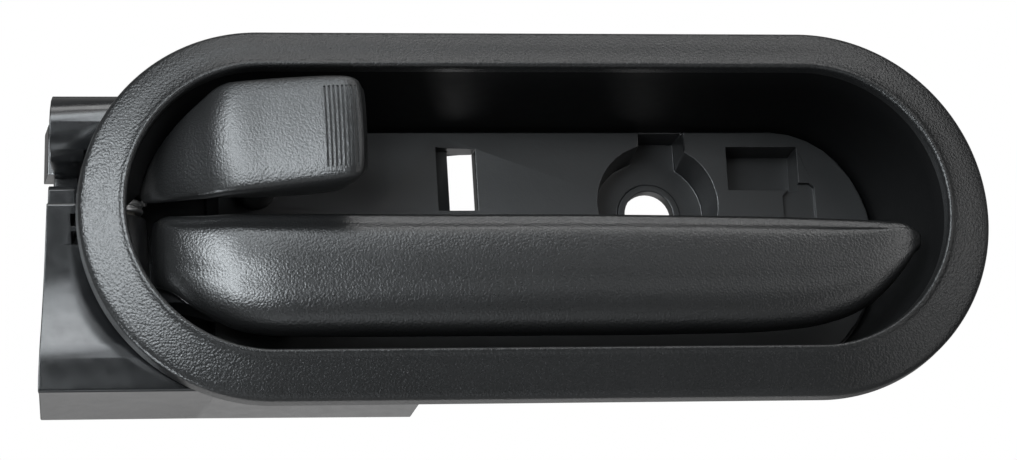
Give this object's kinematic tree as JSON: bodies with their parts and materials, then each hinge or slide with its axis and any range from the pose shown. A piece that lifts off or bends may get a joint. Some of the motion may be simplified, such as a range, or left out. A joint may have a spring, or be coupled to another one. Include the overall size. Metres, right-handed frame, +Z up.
{
  "type": "inside door handle",
  "caption": "Oval inside car door handle: bezel with a deep bowl, pull handle and lock knob on one upright hinge pin, return spring and carrier behind.",
  "frame": {"origin": "centre of the bounding box of the whole part", "axes": "+X along the bezel, from the hinge end towards the free end of the pull handle; +Y into the door, away from the cabin; +Z up, along the hinge pin"},
  "size_m": [0.1674, 0.0438, 0.0656],
  "materials": {
    "grained_plastic": "fine leather grain, moulded charcoal polypropylene",
    "housing_plastic": "smooth satin, as moulded",
    "lever_plastic": "smooth, glass-filled nylon",
    "acetal": "natural acetal, smooth",
    "rubber": "matt",
    "pin_steel": "bright turned steel",
    "spring_steel": "bright drawn wire and strip",
    "screw_steel": "zinc plated"
  },
  "bodies": {
    "base": {"bezel": "grained_plastic", "base_carrier": "housing_plastic", "hinge_pin": "pin_steel", "pin_retainer": "pin_steel", "lower_pin_bush": "acetal", "upper_pin_bush": "acetal", "spring_spacer": "acetal", "handle_stop_pad": "rubber", "lock_stop_pad": "rubber", "detent_leaf_spring": "spring_steel", "detent_screw": "screw_steel", "bezel_screw_upper_left": "screw_steel", "bezel_screw_upper_right": "screw_steel", "bezel_screw_end": "screw_steel", "handle_return_spring": "spring_steel"},
    "handle": {"pull_handle": "grained_plastic", "handle_lever": "lever_plastic", "lever_lower_bush": "acetal", "lever_upper_bush": "acetal", "handle_screw_left": "screw_steel", "handle_screw_right": "screw_steel"},
    "lock": {"lock_knob": "grained_plastic", "lock_lever": "lever_plastic", "lock_lever_bush": "acetal", "lock_knob_screw": "screw_steel"}
  },
  "joints": [
    {"name": "handle_hinge", "type": "hinge", "parent": "base", "child": "handle", "pos_m": [-0.0673, 0.0023, 0], "axis": [0, 0, -1], "range_deg": [0, 30], "stiffness_Nm_per_rad": 0.3, "springref_deg": -57.3, "deforming": ["handle_return_spring"]},
    {"name": "lock_hinge", "type": "hinge", "parent": "base", "child": "lock", "pos_m": [-0.0673, 0.0023, 0], "axis": [0, 0, 1], "range_deg": [0, 15], "deforming": ["detent_leaf_spring"]}
  ]
}
